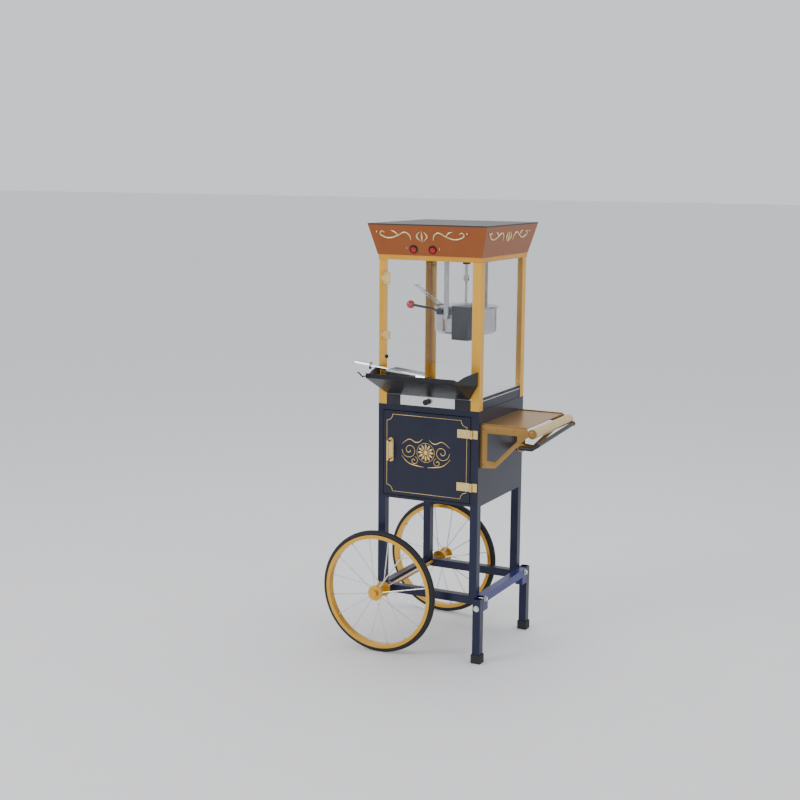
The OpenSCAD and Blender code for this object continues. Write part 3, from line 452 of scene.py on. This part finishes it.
crest = Vector(((door_low.x + door_high.x) / 2 - 0.002, face_y, (door_low.z + door_high.z) / 2 + 0.010))
up = Vector((0, 0, 1))
lines = []
for side in (-1, 1):
    across = Vector((side, 0, 0))
    lines.append(spiral(crest + across * 0.056 + up * 0.004, (across, up), math.pi, 1.5, 0.026))
    lines.append(spiral(crest + across * 0.040 - up * 0.028, (across, -up), math.pi, 1.2, 0.014))
    lines.append([(crest + across * 0.010 + up * 0.042, 0.4), (crest + across * 0.030 + up * 0.030, 1.3),
                  (crest + across * 0.056 + up * 0.038, 1.0), (crest + across * 0.082 + up * 0.022, 0.4)])
    lines.append([(crest + across * 0.006 - up * 0.046, 0.4), (crest + across * 0.026 - up * 0.044, 1.3),
                  (crest + across * 0.060 - up * 0.036, 1.0), (crest + across * 0.084 - up * 0.014, 0.4)])
strokes("door_scrolls", lines, print_gold, "storage", thick=0.0016)

shape = bmesh.new()
for index in range(12):
    angle = index * math.pi / 6
    out = Vector((math.cos(angle), 0, math.sin(angle)))
    petal = bmesh.ops.create_uvsphere(shape, u_segments=10, v_segments=8, radius=1.0)["verts"]
    bmesh.ops.transform(shape, verts=petal, matrix=Matrix.Translation(crest + out * 0.019)
                        @ Matrix.Rotation(-angle, 4, "Y") @ Matrix.Diagonal((0.0085, 0.0012, 0.0034, 1)))
dome(shape, crest, (0, -1, 0), 0.0075, 0.0022, 24)
ring(shape, crest, 0.0100, 0.0009, steps=48, section=8)
ring(shape, crest, 0.0300, 0.0008, steps=64, section=8)
add_piece("door_rosette", shape, print_gold, "storage", smooth=True)

# ---- Door hinges and pull ----
# Stamped leaves in bright gold plate, each held to the door by three small screws.
# The pull is a cast bow, with a bead round each of its two ends.
plated = gilt("plated", (0.86, 0.62, 0.24), 0.24)
wear(["cabinet_hinges", "storage_leaves", "storage_pull"], plated)
leaves_low, leaves_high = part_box("storage_leaves")
shape = bmesh.new()
for z in (leaves_low[2] + 0.013, leaves_high[2] - 0.013):
    for x in (leaves_low[0] + 0.007, leaves_low[0] + 0.026, leaves_low[0] + 0.038):
        dome(shape, (x, door_low.y - 0.0016, z), (0, -1, 0), 0.0030, 0.0010)
add_piece("hinge_screws", shape, zinc, "storage", smooth=True)
pull_low, pull_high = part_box("storage_pull")
pull_x = (pull_low[0] + pull_high[0]) / 2
shape = bmesh.new()
for z in (pull_low[2] + 0.0085, pull_high[2] - 0.0085):
    ring(shape, (pull_x, door_low.y - 0.0020, z), 0.0070, 0.0010, steps=32, section=8)
add_piece("pull_beads", shape, plated, "storage", smooth=True)


# ---- Side shelf ----
# A bronze sheet shelf between two cut brackets, screwed to the cabinet's side.
# A gold grip tube joins the brackets, and a black push rod runs below it.
def slab(shape, centre, size):
    """A plain block about a centre."""
    seat = Matrix.Translation(centre) @ Matrix.Diagonal((*size, 1))
    bmesh.ops.create_cube(shape, size=1.0, matrix=seat)


bronze = metallic_coat("bronze", (0.30, 0.165, 0.040), rough=0.36)
wear(["shelf_plate", "shelf_brackets"], bronze)
grip_gold = gilt("grip_gold", (0.84, 0.62, 0.27), 0.22)
wear(["shelf_grip"], grip_gold)
rod_black = metallic_coat("rod_black", (0.018, 0.018, 0.022), rough=0.24, metal=0.3, rub=0.1)
wear(["push_rod"], rod_black)
grip_low, grip_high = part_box("shelf_grip")
grip_x = (grip_low[0] + grip_high[0]) / 2
grip_z = (grip_low[2] + grip_high[2]) / 2
brackets_low, brackets_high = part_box("shelf_brackets")
shape = bmesh.new()
for y, side in ((brackets_low[1], -1), (brackets_high[1], 1)):
    dome(shape, (grip_x, y, grip_z), (0, side, 0), 0.0115, 0.0035, 28)
    for z in (brackets_low[2] + 0.012, brackets_high[2] - 0.012):
        dome(shape, (cabinet_high[0] + 0.010, y, z), (0, side, 0), 0.0036, 0.0018)
    for x in (0.055, 0.110):
        dome(shape, (cabinet_high[0] + x, y, brackets_high[2] - 0.011), (0, side, 0), 0.0032, 0.0016)
add_piece("bracket_rivets", shape, bronze, "cart", smooth=True)

shelf_low, shelf_high = (Vector(corner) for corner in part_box("shelf_plate"))
shape = bmesh.new()
lip_centre_x = (shelf_low.x + shelf_high.x) / 2
lip_length = shelf_high.x - shelf_low.x - 0.004
for y in (shelf_low.y + 0.0012, shelf_high.y - 0.0012):
    slab(shape, (lip_centre_x, y, shelf_high.z + 0.0015), (lip_length, 0.0016, 0.003))
add_piece("shelf_lips", shape, bronze, "cart", round_edge=0.0005)

# ---- Machine base and kernel drawer ----
# A navy enamelled pan with a black moulded front. The drawer and the sill are brushed steel.
wear(["base_pan"], leg_navy)
front_black = moulded("front_black", (0.020, 0.021, 0.026), 0.38, 1200.0)
wear(["base_fascia", "power_inlet"], front_black)
sheet_steel = brushed("sheet_steel", (0.74, 0.745, 0.75), 0.26, "x")
wear(["deck_plate", "kernel_drawer"], sheet_steel)
knob_black = moulded("knob_black", (0.018, 0.018, 0.018), 0.28, 1500.0, 0.00003)
wear(["drawer_knob"], knob_black)
drawer_low, drawer_high = (Vector(corner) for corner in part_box("kernel_drawer"))
shape = bmesh.new()
for x in (drawer_low.x + 0.008, drawer_high.x - 0.008):
    for z in (drawer_low.z + 0.007, drawer_high.z - 0.007):
        dome(shape, (x, drawer_low.y, z), (0, -1, 0), 0.0024, 0.0010)
add_piece("drawer_rivets", shape, zinc, "drawer", smooth=True)
knob_low, knob_high = (Vector(corner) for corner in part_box("drawer_knob"))
knob_centre = (knob_low + knob_high) / 2
shape = bmesh.new()
ring(shape, (knob_centre.x, knob_low.y + 0.0022, knob_centre.z), 0.0080, 0.0009, steps=40, section=8)
add_piece("knob_bead", shape, knob_black, "drawer", smooth=True)

# ---- Corner posts ----
# Folded angle in a satin gold coat, which carries the windows and the canopy.
# Three small rivets sit in each side and back face, two near its foot and one near its top.
post_gold = metallic_coat("post_gold", (0.66, 0.34, 0.030), rough=0.32, metal=0.4)
wear(["corner_posts"], post_gold)
posts_low, posts_high = (Vector(corner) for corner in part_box("corner_posts"))
shape = bmesh.new()
for z in (posts_low.z + 0.016, posts_low.z + 0.034, posts_high.z - 0.014):
    for x in (cabinet_low[0] + 0.014, cabinet_high[0] - 0.014):
        dome(shape, (x, back_y, z), (0, 1, 0), 0.0026, 0.0010)
    for y in (front_y + 0.014, back_y - 0.014):
        dome(shape, (cabinet_low[0], y, z), (-1, 0, 0), 0.0026, 0.0010)
        dome(shape, (cabinet_high[0], y, z), (1, 0, 0), 0.0026, 0.0010)
add_piece("post_rivets", shape, post_gold, "machine", smooth=True)


# ---- Windows and front pane ----
# Clear acrylic sheet, and the side windows sit in a dark channel along their lower edge.
# The front pane swings on two gold clips with screws, and has a small black stop.
def clear_sheet(name, colour, cover):
    """Clear sheet that shows this share of itself, with faint smears."""
    material, link = surface(name)
    smear = link.noise(22.0, 4.0, (1, 1, 0.4))
    finish(link, {
        "Base Color": smear.blend(colour + (1,), tuple(min(1, c * 1.04) for c in colour) + (1,)),
        "Roughness": smear * 0.06 + 0.02,
        "IOR": 1.49,
        "Alpha": smear * 0.03 + cover,
    })
    return material


acrylic = clear_sheet("acrylic", (0.55, 0.60, 0.64), 0.02)
wear(["windows", "front_pane"], acrylic)
wear(["pane_clips"], plated)
channel = moulded("channel", (0.02, 0.02, 0.022), 0.6)
win_low, win_high = (Vector(corner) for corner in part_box("windows"))
shape = bmesh.new()
channel_length = win_high.y - win_low.y - 0.012
for x in (win_low.x + 0.0040, win_high.x - 0.0040):
    slab(shape, (x, middle.y, win_low.z + 0.004), (0.0022, channel_length, 0.008))
add_piece("window_channels", shape, channel, "machine", round_edge=0.0006)
pane_low, pane_high = (Vector(corner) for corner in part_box("front_pane"))
shape = bmesh.new()
pane_x = (pane_low.x + pane_high.x) / 2
for z in (pane_low.z + 0.003, pane_high.z - 0.003):
    slab(shape, (pane_x, pane_low.y - 0.0006, z), (pane_high.x - pane_low.x, 0.0012, 0.006))
add_piece("pane_edges", shape, acrylic, "pane", round_edge=0.0004)
clips_low, clips_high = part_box("pane_clips")
shape = bmesh.new()
for z in (clips_high[2] - 0.010, clips_high[2] - 0.027, clips_low[2] + 0.007, clips_low[2] + 0.018):
    dome(shape, (clips_high[0] - 0.008, pane_low.y - 0.0016, z), (0, -1, 0), 0.0032, 0.0014)
add_piece("clip_screws", shape, plated, "pane", smooth=True)
shape = bmesh.new()
dome(shape, (pane_low.x + 0.012, pane_low.y, pane_low.z + 0.010), (0, -1, 0), 0.0065, 0.0050, 20)
add_piece("pane_stop", shape, knob_black, "pane", smooth=True)

# ---- Canopy ----
# Flared sheet steel in a copper coat, over a bright gold trim, with a dark cover on top.
# The trim has a rolled bead along its upper and its lower edge.
copper = metallic_coat("copper", (0.24, 0.060, 0.007), rough=0.30, metal=0.4, peel=260.0)
wear(["canopy_shell"], copper)
trim_gold = metallic_coat("trim_gold", (0.62, 0.29, 0.025), rough=0.26, metal=0.5)
wear(["canopy_trim"], trim_gold)
cover_dark = metallic_coat("cover_dark", (0.035, 0.028, 0.026), rough=0.42, metal=0.3, rub=0.1)
wear(["canopy_top"], cover_dark)
trim_low, trim_high = (Vector(corner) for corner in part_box("canopy_trim"))
bead = 0.0028
across_x = trim_high.x - trim_low.x + 0.0012
across_y = trim_high.y - trim_low.y + 0.0012
shape = bmesh.new()
for z in (trim_low.z + 0.0018, trim_high.z - 0.0018):
    for y in (trim_low.y, trim_high.y):
        slab(shape, (middle.x, y, z), (across_x, bead, 0.0022))
    for x in (trim_low.x, trim_high.x):
        slab(shape, (x, middle.y, z), (bead, across_y, 0.0022))
add_piece("trim_beads", shape, trim_gold, "machine", round_edge=0.0005)

# ---- Canopy scrolls ----
# Two cream-gold scrolls and a centre drop on the front and on both sides of the canopy.
# They stand a little proud of the flared faces and lean with them.
scroll_cream = gilt("scroll_cream", (0.90, 0.74, 0.42), 0.36)
shell_high = Vector(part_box("canopy_shell")[1])
rise = shell_high.z - posts_high.z


def canopy_face(outward, across, half_wide):
    """Returns a function from (across, height) on a flared face to a place on its surface."""
    half_high = (shell_high - middle).dot(Vector((abs(outward.x), abs(outward.y), 0)))

    def place(along, z):
        reach = half_wide + (half_high - half_wide) * (z - posts_high.z) / rise
        return Vector((middle.x, middle.y, z)) + outward * (reach + 0.0004) + across * along

    return place


def scroll_lines(place, centre, half, top):
    """A pair of scrolls that sweep out from a centre drop, each ending in a curl with a dot."""
    lines = []
    for side in (-1, 1):
        path = [(0.24, -0.028, 0.5), (0.27, -0.012, 1.1), (0.36, -0.004, 1.2), (0.52, -0.014, 1.0),
                (0.70, -0.022, 1.1), (0.84, -0.018, 1.2), (0.91, -0.009, 1.0), (0.87, -0.002, 0.8),
                (0.81, -0.006, 0.6)]
        lines.append([(place(centre + side * half * u, top + v), share) for u, v, share in path])
        leaf = [(0.52, -0.014, 0.6), (0.58, -0.004, 1.4), (0.67, 0.001, 0.3)]
        lines.append([(place(centre + side * half * u, top + v), share) for u, v, share in leaf])
        lines.append([(place(centre + side * half * u, top + v), share)
                      for u, v, share in ((0.97, -0.004, 1.6), (0.99, -0.004, 1.6))])
        lines.append([(place(centre + side * half * 0.03, top - 0.030), 0.4),
                      (place(centre + side * half * 0.11, top - 0.016), 1.5),
                      (place(centre + side * half * 0.05, top - 0.002), 0.4)])
    drops = ((0.034, 0.3), (0.016, 1.6), (0, 0.3))
    lines.append([(place(centre, top - drop), share) for drop, share in drops])
    return lines


half_width = (cabinet_high[0] - cabinet_low[0]) / 2
half_depth = (back_y - front_y) / 2
faces = (
    ("front_scrolls", Vector((0, -1, 0)), Vector((1, 0, 0)), half_width, half_depth, -0.018),
    ("right_scrolls", Vector((1, 0, 0)), Vector((0, 1, 0)), half_depth, half_width, -0.018),
    ("left_scrolls", Vector((-1, 0, 0)), Vector((0, -1, 0)), half_depth, half_width, 0.0),
)
for name, outward, across, span, reach, centre in faces:
    place = canopy_face(outward, across, reach)
    strokes(name, scroll_lines(place, centre, span * 0.90, shell_high.z - 0.017), scroll_cream,
            "machine", thick=0.0021)

# ---- Ceiling, motor, hangers and lamp ----
# A pressed steel ceiling with the gear motor above it, and two flat straps that hang from it.
# The lamp is a frosted bulb that glows warm.
wear(["ceiling_plate", "hanger_straps"], brushed("hanger_steel", (0.42, 0.42, 0.44), 0.28, "z"))
wear(["drive_motor"], moulded("motor_grey", (0.05, 0.05, 0.055), 0.45))
frosted, link = surface("frosted")
mottle = link.noise(160.0, 2.0)
finish(link, {"Base Color": mottle.blend((0.92, 0.88, 0.78, 1), (0.97, 0.94, 0.86, 1)),
              "Roughness": mottle * 0.2 + 0.35,
              "Normal": bumped(link, mottle, 0.0001),
              "Emission Color": mottle.blend((1.0, 0.80, 0.52, 1), (1.0, 0.86, 0.62, 1)),
              "Emission Strength": 1.4})
wear(["lamp"], frosted)

# ---- Switches ----
# Two red rockers in round black bezels, pressed into the canopy's front.
# A small dash is printed outside each of them.
wear(["switch_bezels"], moulded("switch_black", (0.016, 0.016, 0.018), 0.26, 1800.0, 0.00002))
wear(["left_rocker", "right_rocker"], moulded("rocker_red", (0.42, 0.015, 0.015), 0.22, 1800.0, 0.00002))
bezels_low, bezels_high = (Vector(corner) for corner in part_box("switch_bezels"))
front_place = canopy_face(Vector((0, -1, 0)), Vector((1, 0, 0)), half_depth)
switch_z = (bezels_low.z + bezels_high.z) / 2 + 0.002
lines = []
for x in (bezels_low.x - 0.010, bezels_high.x + 0.010):
    lines.append([(front_place(x - middle.x, z), 1.0) for z in (switch_z - 0.004, switch_z + 0.004)])
strokes("switch_marks", lines, scroll_cream, "machine", thick=0.0010)

# ---- Kettle ----
# A spun steel pot with a rolled rim and a double bottom, which hangs between the straps on two pivots.
# Its two lids are a duller sheet steel.
polished = brushed("polished", (0.52, 0.52, 0.54), 0.2, "z", tint=0.12)
wear(["kettle_pot", "kettle_fittings", "drive_shaft", "stirrer"], polished)
lid_steel = brushed("lid_steel", (0.40, 0.40, 0.42), 0.24, "y", tint=0.10)
wear(["left_lid", "right_lid"], lid_steel)
pot_low, pot_high = (Vector(corner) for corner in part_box("kettle_pot"))
pot_centre = (pot_low + pot_high) / 2
pot_radius = (pot_high.x - pot_low.x) / 2
shape = bmesh.new()
ring(shape, (pot_centre.x, pot_centre.y, pot_high.z - 0.0020), pot_radius + 0.0002, 0.0016, "z", section=12)
ring(shape, (pot_centre.x, pot_centre.y, pot_low.z + 0.0215), pot_radius, 0.0008, "z", section=8)
add_piece("pot_beads", shape, polished, "kettle", smooth=True)

# ---- Terminal box and tilt handle ----
# A black box on the kettle's side, and a dark rod that ends in a moulded red ball.
# A fine mould seam runs round the middle of the ball.
wear(["terminal_box"], moulded("box_black", (0.022, 0.022, 0.025), 0.36, 700.0))
wear(["tilt_rod"], rod_black)
ball_red, link = surface("ball_red")
swirl = link.noise(55.0, 2.0)
finish(link, {"Base Color": swirl.blend((0.50, 0.010, 0.028, 1), (0.66, 0.018, 0.040, 1)),
              "Roughness": swirl * 0.10 + 0.14, "Coat Weight": 0.6, "Coat Roughness": 0.06})
wear(["tilt_ball"], ball_red)
ball_low, ball_high = (Vector(corner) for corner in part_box("tilt_ball"))
ball_centre = (ball_low + ball_high) / 2
shape = bmesh.new()
ring(shape, ball_centre, (ball_high.x - ball_low.x) / 2 - 0.0001, 0.0004, "z", steps=48, section=6)
add_piece("ball_seam", shape, ball_red, "kettle", smooth=True)

# ---- Serving tray ----
# One folded sheet in a satin black coat, with a wire hook at its left end.
# It hangs on the machine's front sill by two tabs.
tray_black = metallic_coat("tray_black", (0.006, 0.007, 0.010), rough=0.40, metal=0.0, rub=0.1)
wear(["serving_tray"], tray_black)

# ---- Scoop ----
# A bowl of bright sheet steel on a tube handle, which lies in the tray and over its left wing.
# The metal is brushed along the handle.
scoop_steel = brushed("scoop_steel", (0.76, 0.76, 0.77), 0.24, "x")
wear(["scoop"], scoop_steel)
